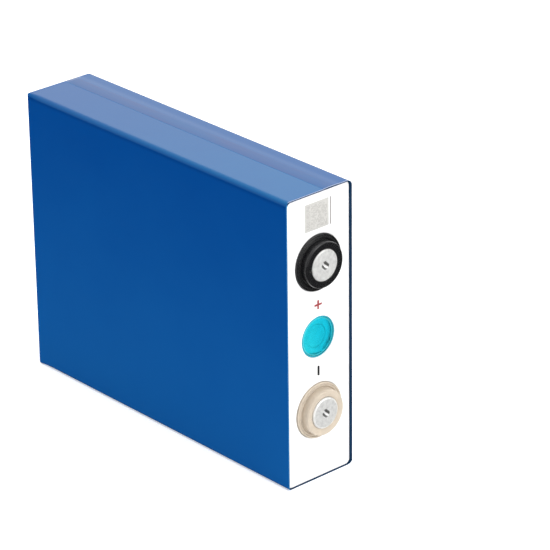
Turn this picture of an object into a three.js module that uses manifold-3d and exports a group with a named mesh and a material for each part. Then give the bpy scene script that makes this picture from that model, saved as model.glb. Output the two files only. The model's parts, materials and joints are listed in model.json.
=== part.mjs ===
// Rigid prismatic lithium cell, taken apart into the pieces it is built from.
//
// The cell stands on one narrow side. +X points out of the terminal face, +Y is the
// thickness of the cell and +Z runs up its width. The origin is the centre of the
// cell's footprint. All lengths are in millimetres.
//
// Heights along X are counted from the film lip, the free edge of the blue film at the
// terminal end: positive values stand out of the cell, negative values lie inside it.

import * as THREE from 'three';
import { mergeVertices } from 'three/addons/utils/BufferGeometryUtils.js';
import Module from 'manifold-3d';

// ---- Driving dimensions ------------------------------------------------------------

const CELL_WIDTH = 130.3; // along Z, over the film's overlap
const CELL_THICKNESS = 35.9; // along Y, over the film
const FILM_LENGTH = 166.5; // along X, from the far end to the film lip
const TERMINAL_PROUD = 3.1; // terminal face beyond the film lip
const TERMINAL_PITCH = 67;

const FILM_WALL = 0.3;
const FILM_OVERLAP = 0.2; // second layer where the film laps over itself
const FILM_CLEARANCE = 0.05;
const FILM_CORNER = 2.3;
const FILM_END_ROUND = 1.1;

const CAN_WALL = 0.8;
const CAN_END_WALL = 1.0;
const LID_RECESS = 1.8; // lid's outer face, below the film lip
const LID_THICKNESS = 2.2;
const SHEET_THICKNESS = 0.4;
const PRINT_THICKNESS = 0.1;

const POLE_RADIUS = 4;
const POLE_FLANGE_RADIUS = 9;
const PAD_RADIUS = 6.85; // the part of the terminal pad that shows
const PAD_BASE_RADIUS = 9; // the part held under the gasket
const PAD_DIMPLE_RADIUS = 2;
const PAD_CLEARANCE = 0.15;
const PAD_BASE = -0.7; // heights of the pad's underside, shoulder and pole socket
const PAD_SHOULDER = 1.4;
const PAD_SOCKET_TOP = 0.8;
const MOUTH_EDGE = 2.3; // height at which the gasket's mouth starts to widen
const GASKET_RADIUS = 12.4;
const SEAL_RADIUS = 6.2;

const VENT_BORE_RADIUS = 8;
const VENT_SEAT_RADIUS = 6.8;
const VENT_COVER_RADIUS = 9;
const PETAL_RADIUS = 5;
const SCORE_GAP = 0.3; // the score line between the petal and its rim

const FILL_PORT_Z = 49;
const FILL_BORE_RADIUS = 1.6;
const FILL_CAP_RADIUS = 3.1;
const ROLL_THICKNESS = 15.9;
const ROLL_GAP = 0.3;
const TAB_THICKNESS = 0.6;

const INNER_PLATE_HALF_Y = 15.9; // plastic plates under the lid

const ROUND_SEGMENTS = 48;
const CORNER_SEGMENTS = 5;

// ---- Places worked out from them ----------------------------------------------------

const LIP_X = (FILM_LENGTH + TERMINAL_PROUD) / 2 - TERMINAL_PROUD;
const BASE_HEIGHT = CELL_WIDTH - FILM_OVERLAP; // film without its overlap
const CENTRE_Z = BASE_HEIGHT / 2;
const POSITIVE_Z = CENTRE_Z + TERMINAL_PITCH / 2;
const NEGATIVE_Z = CENTRE_Z - TERMINAL_PITCH / 2;

const FILM_HALF = { y: CELL_THICKNESS / 2, z: BASE_HEIGHT / 2 };
const FILM_SKIN = FILM_WALL + FILM_CLEARANCE;
const CAN_HALF = { y: FILM_HALF.y - FILM_SKIN, z: FILM_HALF.z - FILM_SKIN };
const CAVITY_HALF = { y: CAN_HALF.y - CAN_WALL, z: CAN_HALF.z - CAN_WALL };

const FAR_END = -FILM_LENGTH;
const FILM_END_PANEL = FAR_END + FILM_OVERLAP;
const CAN_END = FILM_END_PANEL + FILM_SKIN;
const CAVITY_END = CAN_END + CAN_END_WALL;

const LID_OUTER = -LID_RECESS;
const LID_INNER = LID_OUTER - LID_THICKNESS;
const SHEET_OUTER = LID_OUTER + SHEET_THICKNESS;

const VENT_LEDGE = LID_INNER + 1;
const PETAL_OUTER = VENT_LEDGE + 0.3;
const FILL_CAP_SEAT = LID_OUTER - 0.8;

const SEAL_FLANGE_THICKNESS = 0.9;
const POLE_FLANGE_OUTER = LID_INNER - SEAL_FLANGE_THICKNESS;
const POLE_FLANGE_INNER = POLE_FLANGE_OUTER - 2;
const CONNECTOR_THICKNESS = 1.5;
const CONNECTOR_INNER = POLE_FLANGE_INNER - CONNECTOR_THICKNESS;

const END_PAD_THICKNESS = 1.2;
const BAG_WALL = 0.25;
const BAG_CLEARANCE = 0.1;
const END_PAD_INNER = CAVITY_END + END_PAD_THICKNESS;
const BAG_HALF = { y: CAVITY_HALF.y - BAG_CLEARANCE, z: CAVITY_HALF.z - BAG_CLEARANCE };
const ROLL_START = END_PAD_INNER + BAG_WALL + 0.2;
const ROLL_END = CONNECTOR_INNER - 6.6;
const ROLL_HALF = { y: ROLL_THICKNESS / 2, z: BAG_HALF.z - BAG_WALL - 0.6 };
const ROLL_Y = ROLL_HALF.y + ROLL_GAP / 2;

const wasm = await Module();
wasm.setup();

// ---- Materials -----------------------------------------------------------------------

function finish(colour, roughness, metalness = 0) {
  return new THREE.MeshStandardMaterial({ color: colour, roughness, metalness });
}

const BLUE_FILM = finish(0x0f4f96, 0.3);
const ALUMINIUM = finish(0xd8dadc, 0.35, 1);
const COPPER = finish(0xc07a50, 0.35, 1);
const WHITE_SHEET = finish(0xfafafa, 0.5);
const LABEL = finish(0xdedcd6, 0.6);
const RED_INK = finish(0xc84444, 0.6);
const BLACK_INK = finish(0x202020, 0.6);
const BLACK_PLASTIC = finish(0x1e1e1f, 0.4);
const BEIGE_PLASTIC = finish(0xe1cdaf, 0.45);
const TEAL_FILM = finish(0x1ec3d2, 0.15);
const RUBBER = finish(0x3a3a3a, 0.8);
const NATURAL_PLASTIC = finish(0xe9e7df, 0.5);
const BAG_FILM = finish(0xc9d6dc, 0.25);
const ROLL_SKIN = finish(0x8a8f94, 0.5);
const TAPE = finish(0x3f8f4f, 0.45);

// ---- Shape helpers -------------------------------------------------------------------

// Turns a shape extruded along its own Z (drawn as y, z) so that it runs along world X.
const DRAWN_TO_X = new THREE.Matrix4().makeBasis(
  new THREE.Vector3(0, 1, 0),
  new THREE.Vector3(0, 0, 1),
  new THREE.Vector3(1, 0, 0),
);
// Turns a lathe about its own Y into a lathe about world X.
const TURNED_TO_X = new THREE.Matrix4().makeBasis(
  new THREE.Vector3(0, 1, 0),
  new THREE.Vector3(1, 0, 0),
  new THREE.Vector3(0, 0, -1),
);

// A solid with the given outline in the YZ plane, between two heights along X.
function slab(shape, low, high, centreZ = 0) {
  const geometry = new THREE.ExtrudeGeometry(shape, {
    depth: high - low,
    bevelEnabled: false,
    curveSegments: ROUND_SEGMENTS / 4,
  });
  geometry.applyMatrix4(DRAWN_TO_X);
  return geometry.translate(low, 0, centreZ);
}

// A solid of revolution about X. Its profile is a closed loop of [radius, height] points,
// listed anticlockwise with the radius drawn to the right and the height drawn upwards.
function turned(profile, centreZ) {
  const loop = [...profile, profile[0]].map(([radius, height]) => new THREE.Vector2(radius, height));
  const geometry = new THREE.LatheGeometry(loop, ROUND_SEGMENTS);
  geometry.applyMatrix4(TURNED_TO_X);
  return geometry.translate(0, 0, centreZ);
}

function disc(radius, low, high, centreZ) {
  return slab(circle(radius), low, high, centreZ);
}

function circle(radius) {
  return new THREE.Shape().absarc(0, 0, radius, 0, 2 * Math.PI, false);
}

function roundHole(y, z, radius) {
  return new THREE.Path().absarc(y, z, radius, 0, 2 * Math.PI, true);
}

// The corner-rounded rectangle as a loop of points, the same count for every size.
function roundedLoop(halfY, halfZ, corner) {
  const points = [];
  for (let quarter = 0; quarter < 4; quarter += 1) {
    const signY = quarter === 0 || quarter === 3 ? 1 : -1;
    const signZ = quarter < 2 ? 1 : -1;
    for (let step = 0; step <= CORNER_SEGMENTS; step += 1) {
      const angle = (Math.PI / 2) * (quarter + step / CORNER_SEGMENTS);
      const y = signY * (halfY - corner) + corner * Math.cos(angle);
      const z = signZ * (halfZ - corner) + corner * Math.sin(angle);
      points.push(new THREE.Vector2(y, z));
    }
  }
  return points;
}

function roundedRectangle(halfY, halfZ, corner) {
  return new THREE.Shape(roundedLoop(halfY, halfZ, corner));
}

// A rounded box along X whose far end is rounded too, as a drawn case or a wrapped film is.
function roundedBlock({ half, corner, endRound, low, high }) {
  const rings = [];
  for (let step = 0; step <= CORNER_SEGMENTS; step += 1) {
    const angle = (Math.PI / 2) * (step / CORNER_SEGMENTS);
    const inset = endRound * (1 - Math.sin(angle));
    rings.push({ x: low + endRound * (1 - Math.cos(angle)), inset });
  }
  rings.push({ x: high, inset: 0 });
  const loops = rings.map(({ x, inset }) => {
    const loop = roundedLoop(half.y - inset, half.z - inset, corner - inset);
    return loop.map((point) => new THREE.Vector3(x, point.x, CENTRE_Z + point.y));
  });
  return stitched(loops);
}

// Joins equal-length loops of points into one closed surface, with a flat cap at each end.
function stitched(loops) {
  const count = loops[0].length;
  const index = [];
  for (let ring = 0; ring + 1 < loops.length; ring += 1) {
    for (let here = 0; here < count; here += 1) {
      const next = (here + 1) % count;
      const [a, b] = [ring * count + here, ring * count + next];
      const [c, d] = [a + count, b + count];
      index.push(a, b, d, a, d, c);
    }
  }
  const flat = loops[0].map((point) => new THREE.Vector2(point.y, point.z));
  const last = (loops.length - 1) * count;
  for (const [a, b, c] of THREE.ShapeUtils.triangulateShape(flat, [])) {
    index.push(a, c, b);
    index.push(last + a, last + b, last + c);
  }
  const geometry = new THREE.BufferGeometry().setFromPoints(loops.flat());
  geometry.setIndex(index);
  return geometry;
}

function toManifold(geometry) {
  const bare = new THREE.BufferGeometry();
  bare.setAttribute('position', geometry.getAttribute('position'));
  if (geometry.index) bare.setIndex(geometry.index);
  const merged = mergeVertices(bare, 1e-5);
  return new wasm.Manifold(
    new wasm.Mesh({
      numProp: 3,
      vertProperties: new Float32Array(merged.getAttribute('position').array),
      triVerts: new Uint32Array(merged.index.array),
    }),
  );
}

function fromManifold(solid) {
  const mesh = solid.getMesh();
  const geometry = new THREE.BufferGeometry();
  geometry.setAttribute('position', new THREE.BufferAttribute(new Float32Array(mesh.vertProperties), 3));
  geometry.setIndex(new THREE.BufferAttribute(new Uint32Array(mesh.triVerts), 1));
  return geometry;
}

function cut(geometry, ...tools) {
  let solid = toManifold(geometry);
  for (const tool of tools) solid = solid.subtract(toManifold(tool));
  return fromManifold(solid);
}

function join(geometry, ...others) {
  let solid = toManifold(geometry);
  for (const other of others) solid = solid.add(toManifold(other));
  return fromManifold(solid);
}

// ---- The assembly --------------------------------------------------------------------

const cell = new THREE.Group();
cell.position.x = LIP_X;

function add(name, geometry, material) {
  geometry.computeVertexNormals();
  const mesh = new THREE.Mesh(geometry, material);
  mesh.name = name;
  cell.add(mesh);
}

// One film blank is wrapped round the four long sides, laps over itself on the upper
// narrow side and is folded over the far end like a parcel.
function filmWrap() {
  const lapY = { freeEdge: 2.7, buriedEdge: 8.8, slopeEnd: 10.2 }; // on the upper narrow side
  const outer = roundedBlock({
    half: FILM_HALF,
    corner: FILM_CORNER,
    endRound: FILM_END_ROUND,
    low: FILM_END_PANEL,
    high: 0,
  });
  const inner = roundedBlock({
    half: { y: FILM_HALF.y - FILM_WALL, z: FILM_HALF.z - FILM_WALL },
    corner: FILM_CORNER - FILM_WALL,
    endRound: FILM_END_ROUND - FILM_WALL,
    low: FILM_END_PANEL + FILM_WALL,
    high: 5,
  });
  const bite = 0.1; // depth to which a lap is sunk into the layer below it
  const lap = new THREE.Shape([
    new THREE.Vector2(lapY.freeEdge, BASE_HEIGHT - bite),
    new THREE.Vector2(lapY.slopeEnd, BASE_HEIGHT - bite),
    new THREE.Vector2(lapY.buriedEdge, CELL_WIDTH),
    new THREE.Vector2(lapY.freeEdge, CELL_WIDTH),
  ]);
  const foldY = FILM_HALF.y - FILM_END_ROUND - 0.6;
  const foldZ = FILM_HALF.z - FILM_END_ROUND - 0.6;
  const foldEdgeY = 4;
  const foldRun = foldY + foldEdgeY; // the fold's ends slope at 45 degrees
  const fold = new THREE.Shape([
    new THREE.Vector2(-foldY, -foldZ),
    new THREE.Vector2(foldEdgeY, foldRun - foldZ),
    new THREE.Vector2(foldEdgeY, foldZ - foldRun),
    new THREE.Vector2(-foldY, foldZ),
  ]);
  const shell = join(
    outer,
    slab(lap, FILM_END_PANEL + FILM_END_ROUND, 0),
    slab(fold, FAR_END, FILM_END_PANEL + bite, CENTRE_Z),
  );
  return cut(shell, inner);
}

// Deep-drawn aluminium case, open at the lid.
function caseCan() {
  const corner = FILM_CORNER - FILM_WALL + 0.2;
  const endRound = FILM_END_ROUND - FILM_WALL + 0.2;
  const outer = roundedBlock({ half: CAN_HALF, corner, endRound, low: CAN_END, high: LID_OUTER });
  const inner = roundedBlock({
    half: CAVITY_HALF,
    corner: corner - CAN_WALL,
    endRound: endRound - CAN_WALL,
    low: CAVITY_END,
    high: 5,
  });
  return cut(outer, inner);
}

// Lid plate let into the can's mouth, with two terminal holes, the vent and the fill port.
function lidPlate() {
  const edgeGap = 0.05;
  const outline = roundedRectangle(CAVITY_HALF.y - edgeGap, CAVITY_HALF.z - edgeGap, 1.9);
  const past = 1; // how far each cutter runs past the plate
  const [above, below] = [LID_OUTER + past, LID_INNER - past];
  return cut(
    slab(outline, LID_INNER, LID_OUTER, CENTRE_Z),
    disc(SEAL_RADIUS + 0.1, below, above, POSITIVE_Z),
    disc(SEAL_RADIUS + 0.1, below, above, NEGATIVE_Z),
    disc(VENT_SEAT_RADIUS, below, above, CENTRE_Z),
    disc(VENT_BORE_RADIUS, VENT_LEDGE, above, CENTRE_Z),
    disc(FILL_BORE_RADIUS, below, above, FILL_PORT_Z),
    disc(FILL_CAP_RADIUS + 0.1, FILL_CAP_SEAT, above, FILL_PORT_Z),
  );
}

// White insulating sheet stuck on the lid, cut out round the terminals and the vent.
function topSheet() {
  const edgeGap = 0.3; // to the inside of the film
  const inset = FILM_SKIN + edgeGap;
  const shape = roundedRectangle(FILM_HALF.y - inset, FILM_HALF.z - inset, 2);
  shape.holes.push(
    roundHole(0, POSITIVE_Z - CENTRE_Z, GASKET_RADIUS + 0.2),
    roundHole(0, NEGATIVE_Z - CENTRE_Z, GASKET_RADIUS + 0.2),
    roundHole(0, 0, VENT_COVER_RADIUS + 0.3),
  );
  return slab(shape, LID_OUTER, SHEET_OUTER, CENTRE_Z);
}

function printed(shape, centreZ) {
  return slab(shape, SHEET_OUTER, SHEET_OUTER + PRINT_THICKNESS, centreZ);
}

function codeLabel() {
  const half = { y: 7.2, z: 6.05 };
  const offCentre = { y: 0.25, z: 54.4 };
  const shape = roundedRectangle(half.y, half.z, 0.3);
  return printed(shape, CENTRE_Z + offCentre.z).translate(0, offCentre.y, 0);
}

function plusMark(reach, halfStroke) {
  const corners = [
    [reach, -halfStroke], [reach, halfStroke], [halfStroke, halfStroke], [halfStroke, reach],
    [-halfStroke, reach], [-halfStroke, halfStroke], [-reach, halfStroke], [-reach, -halfStroke],
    [-halfStroke, -halfStroke], [-halfStroke, -reach], [halfStroke, -reach], [halfStroke, -halfStroke],
  ];
  return printed(new THREE.Shape(corners.map(([y, z]) => new THREE.Vector2(y, z))), CENTRE_Z + 14.5);
}

function minusMark(reach, halfStroke) {
  return printed(roundedRectangle(halfStroke, reach, 0.1), CENTRE_Z - 15.4);
}

// Gasket moulded round the terminal pad: a flange on the lid, a neck and a ring above it.
// lipRadius is the ring's mouth at its top; the pad shows inside it.
function gasket(centreZ, lipRadius) {
  const flangeTop = -0.6;
  const neckRadius = 9.9;
  const ring = { radius: 10.5, bottom: 0.8, edge: 1.9, topRadius: 9.9, top: 2.9 };
  const chamfer = 0.3;
  const poleHole = POLE_RADIUS + 0.3;
  const mouth = PAD_RADIUS + PAD_CLEARANCE;
  const pocket = PAD_BASE_RADIUS + PAD_CLEARANCE;
  const pocketFloor = PAD_BASE - 0.1;
  const pocketTop = PAD_SHOULDER + 0.1;
  return turned([
    [poleHole, LID_OUTER], [GASKET_RADIUS, LID_OUTER],
    [GASKET_RADIUS, flangeTop - chamfer], [GASKET_RADIUS - chamfer, flangeTop],
    [neckRadius, flangeTop], [neckRadius, ring.bottom - chamfer],
    [ring.radius, ring.bottom], [ring.radius, ring.edge], [ring.topRadius, ring.top],
    [lipRadius, ring.top], [mouth, MOUTH_EDGE], [mouth, pocketTop],
    [pocket, pocketTop], [pocket, pocketFloor], [poleHole, pocketFloor],
  ], centreZ);
}

// Terminal pad: the outer aluminium block that a busbar is welded to.
function terminalPad(centreZ) {
  const top = TERMINAL_PROUD;
  const chamfer = 0.4;
  const dimpleDepth = 1.1;
  const socket = POLE_RADIUS + 0.15;
  return turned([
    [0, PAD_SOCKET_TOP], [socket, PAD_SOCKET_TOP], [socket, PAD_BASE],
    [PAD_BASE_RADIUS, PAD_BASE], [PAD_BASE_RADIUS, PAD_SHOULDER], [PAD_RADIUS, PAD_SHOULDER],
    [PAD_RADIUS, top - chamfer], [PAD_RADIUS - chamfer, top], [PAD_DIMPLE_RADIUS, top],
    [0, top - dimpleDepth],
  ], centreZ);
}

// Pole: the rivet that carries the current through the lid.
function pole(centreZ) {
  const top = PAD_SOCKET_TOP - 0.1;
  const chamfer = 0.4;
  return turned([
    [0, POLE_FLANGE_INNER], [POLE_FLANGE_RADIUS, POLE_FLANGE_INNER],
    [POLE_FLANGE_RADIUS, POLE_FLANGE_OUTER], [POLE_RADIUS, POLE_FLANGE_OUTER],
    [POLE_RADIUS, top - chamfer], [POLE_RADIUS - chamfer, top], [0, top],
  ], centreZ);
}

// Rubber seal: a sleeve in the lid's hole and a flange squeezed under the lid.
function sealRing(centreZ) {
  const bore = POLE_RADIUS + 0.15;
  const flange = 8.6;
  const top = LID_OUTER - 0.05;
  return turned([
    [bore, POLE_FLANGE_OUTER], [flange, POLE_FLANGE_OUTER], [flange, LID_INNER],
    [SEAL_RADIUS, LID_INNER], [SEAL_RADIUS, top], [bore, top],
  ], centreZ);
}

// Plastic plate that keeps the pole's flange and the connector off the lid.
function lowerInsulator(centreZ, outwards, portHole) {
  const offset = 4; // the plate reaches further towards the cell's edge
  const centre = centreZ + outwards * offset;
  const shape = roundedRectangle(INNER_PLATE_HALF_Y, 24.5, 2);
  shape.holes.push(roundHole(0, centreZ - centre, POLE_FLANGE_RADIUS + 0.3));
  if (portHole) shape.holes.push(roundHole(0, FILL_PORT_Z - centre, 2));
  return slab(shape, POLE_FLANGE_INNER, LID_INNER, centre);
}

// Connector plate welded under the pole, thinned where the weld goes through.
function connector(centreZ) {
  const weldRadius = 4.5;
  const weldDepth = 0.5;
  return cut(
    slab(roundedRectangle(14, 15, 1.5), CONNECTOR_INNER, POLE_FLANGE_INNER, centreZ),
    disc(weldRadius, CONNECTOR_INNER - 1, CONNECTOR_INNER + weldDepth, centreZ),
  );
}

// Stack of foil tabs from one roll, folded inwards flat against the connector plate.
function tabStack(centreZ, side) {
  const halfWidth = 12;
  const standY = ROLL_Y;
  const foldedY = 2;
  const bend = 1.2;
  const top = CONNECTOR_INNER;
  const bendOut = bend + TAB_THICKNESS;
  const shape = new THREE.Shape();
  shape.moveTo(ROLL_END, standY + TAB_THICKNESS);
  shape.lineTo(top - bendOut, standY + TAB_THICKNESS);
  shape.absarc(top - bendOut, standY + TAB_THICKNESS - bendOut, bendOut, Math.PI / 2, 0, true);
  shape.lineTo(top, foldedY);
  shape.lineTo(top - TAB_THICKNESS, foldedY);
  shape.absarc(top - bendOut, standY + TAB_THICKNESS - bendOut, bend, 0, Math.PI / 2, false);
  shape.lineTo(ROLL_END, standY);
  shape.closePath();
  const geometry = new THREE.ExtrudeGeometry(shape, {
    depth: 2 * halfWidth,
    bevelEnabled: false,
    curveSegments: 4,
  });
  geometry.translate(0, 0, centreZ - halfWidth);
  return side > 0 ? geometry : mirroredY(geometry);
}

// The same solid on the other side of the cell's middle plane.
function mirroredY(geometry) {
  const mirrored = geometry.clone().scale(1, -1, 1);
  const place = mirrored.getAttribute('position');
  const swap = new THREE.Vector3();
  const other = new THREE.Vector3();
  for (let first = 0; first < place.count; first += 3) {
    swap.fromBufferAttribute(place, first + 1);
    other.fromBufferAttribute(place, first + 2);
    place.setXYZ(first + 1, other.x, other.y, other.z);
    place.setXYZ(first + 2, swap.x, swap.y, swap.z);
  }
  return mirrored;
}

// Safety vent: a scored membrane. Its rim stays welded to the ledge in the lid.
function ventRim() {
  const rimTop = VENT_LEDGE + 0.4;
  return turned([
    [PETAL_RADIUS + SCORE_GAP, VENT_LEDGE], [VENT_BORE_RADIUS - 0.1, VENT_LEDGE],
    [VENT_BORE_RADIUS - 0.1, rimTop], [PETAL_RADIUS + 1.2, rimTop],
    [PETAL_RADIUS + SCORE_GAP, PETAL_OUTER],
  ], CENTRE_Z);
}

function ventPetal() {
  return disc(PETAL_RADIUS, VENT_LEDGE, PETAL_OUTER, CENTRE_Z);
}

function ventCover() {
  return disc(VENT_COVER_RADIUS, LID_OUTER, LID_OUTER + 0.2, CENTRE_Z);
}

// Guard that keeps the rolls from blocking the vent from inside.
function ventGuard() {
  const shape = roundedRectangle(INNER_PLATE_HALF_Y, 8.2, 2);
  const slotSpacing = 4.2;
  for (let slot = -1; slot <= 1; slot += 1) {
    shape.holes.push(new THREE.Path(slotLoop(slot * slotSpacing, 1, 6)));
  }
  return slab(shape, LID_INNER - 1.2, LID_INNER, CENTRE_Z);
}

function slotLoop(z, halfWidth, halfLength) {
  const loop = roundedLoop(halfLength, halfWidth, halfWidth * 0.9);
  return loop.map((point) => new THREE.Vector2(point.x, point.y + z)).reverse();
}

function fillPlug() {
  const radius = FILL_BORE_RADIUS - 0.1;
  return turned([
    [0, LID_INNER], [radius - 0.3, LID_INNER], [radius, LID_INNER + 0.4],
    [radius, FILL_CAP_SEAT], [0, FILL_CAP_SEAT],
  ], FILL_PORT_Z);
}

function fillCap() {
  return disc(FILL_CAP_RADIUS, FILL_CAP_SEAT, LID_OUTER, FILL_PORT_Z);
}

// Wound electrode roll: flat faces towards the wide sides, round at both edges.
function electrodeRoll(side) {
  const shape = new THREE.Shape();
  const straight = ROLL_HALF.z - ROLL_HALF.y;
  shape.absarc(0, straight, ROLL_HALF.y, 0, Math.PI, false);
  shape.absarc(0, -straight, ROLL_HALF.y, Math.PI, 2 * Math.PI, false);
  return slab(shape, ROLL_START, ROLL_END, CENTRE_Z).translate(0, side * ROLL_Y, 0);
}

// Tape that holds a roll's last turn down, along its outer flat face.
function rollTape(side) {
  const thickness = 0.1;
  const length = 104;
  const halfWidth = 12;
  const face = ROLL_Y + ROLL_HALF.y;
  const middle = (ROLL_START + ROLL_END) / 2;
  const geometry = new THREE.BoxGeometry(length, thickness, 2 * halfWidth);
  return geometry.translate(middle, side * (face + thickness / 2), CENTRE_Z);
}

// Insulating bag round both rolls, open towards the lid.
function insulatingBag() {
  const corner = 1.6;
  const outer = roundedBlock({
    half: BAG_HALF, corner, endRound: 0.8, low: END_PAD_INNER, high: CONNECTOR_INNER - 1,
  });
  const inner = roundedBlock({
    half: { y: BAG_HALF.y - BAG_WALL, z: BAG_HALF.z - BAG_WALL },
    corner: corner - BAG_WALL,
    endRound: 0.8 - BAG_WALL,
    low: END_PAD_INNER + BAG_WALL,
    high: 5,
  });
  return cut(outer, inner);
}

// Perforated pad between the bag and the can's far end.
function endPad() {
  const inset = 0.6; // clears the rounding of the can's far end
  const shape = roundedRectangle(BAG_HALF.y - inset, BAG_HALF.z - inset, 2);
  const holeSpacing = 22;
  for (let hole = -2; hole <= 2; hole += 1) {
    shape.holes.push(roundHole(0, hole * holeSpacing, 3));
  }
  return slab(shape, CAVITY_END, END_PAD_INNER, CENTRE_Z);
}

// ---- Outside -------------------------------------------------------------------------

add('film_wrap', filmWrap(), BLUE_FILM);
add('case_can', caseCan(), ALUMINIUM);
add('lid_plate', lidPlate(), ALUMINIUM);
add('top_insulation_sheet', topSheet(), WHITE_SHEET);
add('code_label', codeLabel(), LABEL);
add('plus_mark', plusMark(2, 0.45), RED_INK);
add('minus_mark', minusMark(2.15, 0.55), BLACK_INK);

// ---- Terminals -----------------------------------------------------------------------

// The positive one is aluminium throughout; the negative one's pole, connector and tabs
// are copper.

const terminals = [
  {
    name: 'positive',
    z: POSITIVE_Z,
    outwards: 1,
    portHole: false,
    lipRadius: PAD_RADIUS + PAD_CLEARANCE,
    plastic: BLACK_PLASTIC,
    metal: ALUMINIUM,
  },
  {
    name: 'negative',
    z: NEGATIVE_Z,
    outwards: -1,
    portHole: true,
    lipRadius: 8.2,
    plastic: BEIGE_PLASTIC,
    metal: COPPER,
  },
];

for (const terminal of terminals) {
  const { name, z, metal } = terminal;
  add(`${name}_gasket`, gasket(z, terminal.lipRadius), terminal.plastic);
  add(`${name}_terminal_pad`, terminalPad(z), ALUMINIUM);
  add(`${name}_pole`, pole(z), metal);
  add(`${name}_seal_ring`, sealRing(z), RUBBER);
  const insulator = lowerInsulator(z, terminal.outwards, terminal.portHole);
  add(`${name}_lower_insulator`, insulator, NATURAL_PLASTIC);
  add(`${name}_connector`, connector(z), metal);
  add(`${name}_tabs_front`, tabStack(z, -1), metal);
  add(`${name}_tabs_back`, tabStack(z, 1), metal);
}

// ---- Vent and fill port --------------------------------------------------------------

add('vent_rim', ventRim(), ALUMINIUM);
add('vent_petal', ventPetal(), ALUMINIUM);
add('vent_cover_film', ventCover(), TEAL_FILM);
add('vent_guard', ventGuard(), NATURAL_PLASTIC);
add('fill_port_plug', fillPlug(), RUBBER);
add('fill_port_cap', fillCap(), ALUMINIUM);

// ---- Inside the can ------------------------------------------------------------------

add('electrode_roll_front', electrodeRoll(-1), ROLL_SKIN);
add('electrode_roll_back', electrodeRoll(1), ROLL_SKIN);
add('roll_tape_front', rollTape(-1), TAPE);
add('roll_tape_back', rollTape(1), TAPE);
add('insulating_bag', insulatingBag(), BAG_FILM);
add('end_pad', endPad(), NATURAL_PLASTIC);

export default cell;
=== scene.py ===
"""Looks of a rigid prismatic lithium cell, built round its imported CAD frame.

Lengths are in metres in the CAD frame: +X out of the terminal face, +Y through the cell's
thickness, +Z up its width. Only the profiles of turned pieces are in millimetres: there a
corner is a radius, a height above the film's lip and a fillet. The lip is the free edge of
the blue film at the terminal end.
"""
import json
import math

import bmesh
import bpy
from mathutils import Matrix, Vector, noise


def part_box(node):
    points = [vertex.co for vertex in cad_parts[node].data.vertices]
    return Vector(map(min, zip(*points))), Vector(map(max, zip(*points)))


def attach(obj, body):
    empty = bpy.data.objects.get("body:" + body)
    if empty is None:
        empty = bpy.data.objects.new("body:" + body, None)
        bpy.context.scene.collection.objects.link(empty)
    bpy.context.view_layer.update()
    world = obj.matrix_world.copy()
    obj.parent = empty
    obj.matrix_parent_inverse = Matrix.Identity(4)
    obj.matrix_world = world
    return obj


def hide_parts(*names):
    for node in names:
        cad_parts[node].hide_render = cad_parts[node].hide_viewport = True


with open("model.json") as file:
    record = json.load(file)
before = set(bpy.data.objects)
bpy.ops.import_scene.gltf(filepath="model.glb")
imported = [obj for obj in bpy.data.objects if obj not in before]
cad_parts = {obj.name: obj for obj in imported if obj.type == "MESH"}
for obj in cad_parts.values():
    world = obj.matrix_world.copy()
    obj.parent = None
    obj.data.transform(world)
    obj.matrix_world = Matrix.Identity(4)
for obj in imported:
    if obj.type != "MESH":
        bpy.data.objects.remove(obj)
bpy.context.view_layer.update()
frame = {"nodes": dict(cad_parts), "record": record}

MM = 0.001

# ---- Camera ------------------------------------------------------------------------

CAMERA_AZIMUTH = 48.02  # degrees from -Y towards +X
CAMERA_ELEVATION = 24.78
CAMERA_ROLL = -0.7
CAMERA_DISTANCE = 1.3665
CAMERA_AIM_RIGHT = 0.03737  # the view's centre lies to the right of the film's centre
CAMERA_AIM_UP = 0.00031
CAMERA_LENS = 209.92  # millimetres

# ---- Studio ------------------------------------------------------------------------

SKY_STRENGTH = 1.43
DARK_BELOW = 0.02  # strength under the table
FRONT_SHARE = 0.55  # of the sky's strength, in front of the wide side
CARD_SHARE = 0.15  # of the sky's strength, on the dark card
CARD_DIRECTION = (0.75, 0.62, 0.1)  # to the right rear
FLOOR_GLOW = 0.35  # the floor is a light table, so shadows on it stay faint
FLOOR_HALF = 3.0
FLOOR_DROP = 0.02 * MM  # keeps the floor just clear of the standing face

# ---- Places taken from the frame ---------------------------------------------------


def centre_of(node):
    low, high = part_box(node)
    return (low + high) / 2


def radius_of(node):
    low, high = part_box(node)
    return (high.y - low.y) / 2


FILM_LOW, FILM_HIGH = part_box("film_wrap")
SHEET_LOW, SHEET_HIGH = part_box("top_insulation_sheet")
LID_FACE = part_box("lid_plate")[1].x
FILM_CENTRE = centre_of("film_wrap")
POSITIVE = centre_of("positive_terminal_pad")
NEGATIVE = centre_of("negative_terminal_pad")
VENT = centre_of("vent_cover_film")
GASKET_RADIUS = radius_of("positive_gasket")
PAD_BASE_RADIUS = radius_of("positive_terminal_pad")
VENT_COVER_RADIUS = radius_of("vent_cover_film")

# ---- The blue film's measures ------------------------------------------------------

FILM_WALL = 0.3 * MM
FOLD_THICKNESS = 0.2 * MM
LIP = FILM_HIGH.x
FAR = FILM_LOW.x
END_FACE = FAR + FOLD_THICKNESS  # the far end under its folded flaps
LAP = FOLD_THICKNESS  # height of the second layer on the upper narrow side
BASE_TOP = FILM_HIGH.z - LAP
MIDDLE_Z = (FILM_LOW.z + BASE_TOP) / 2
HALF_Z = (BASE_TOP - FILM_LOW.z) / 2

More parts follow.
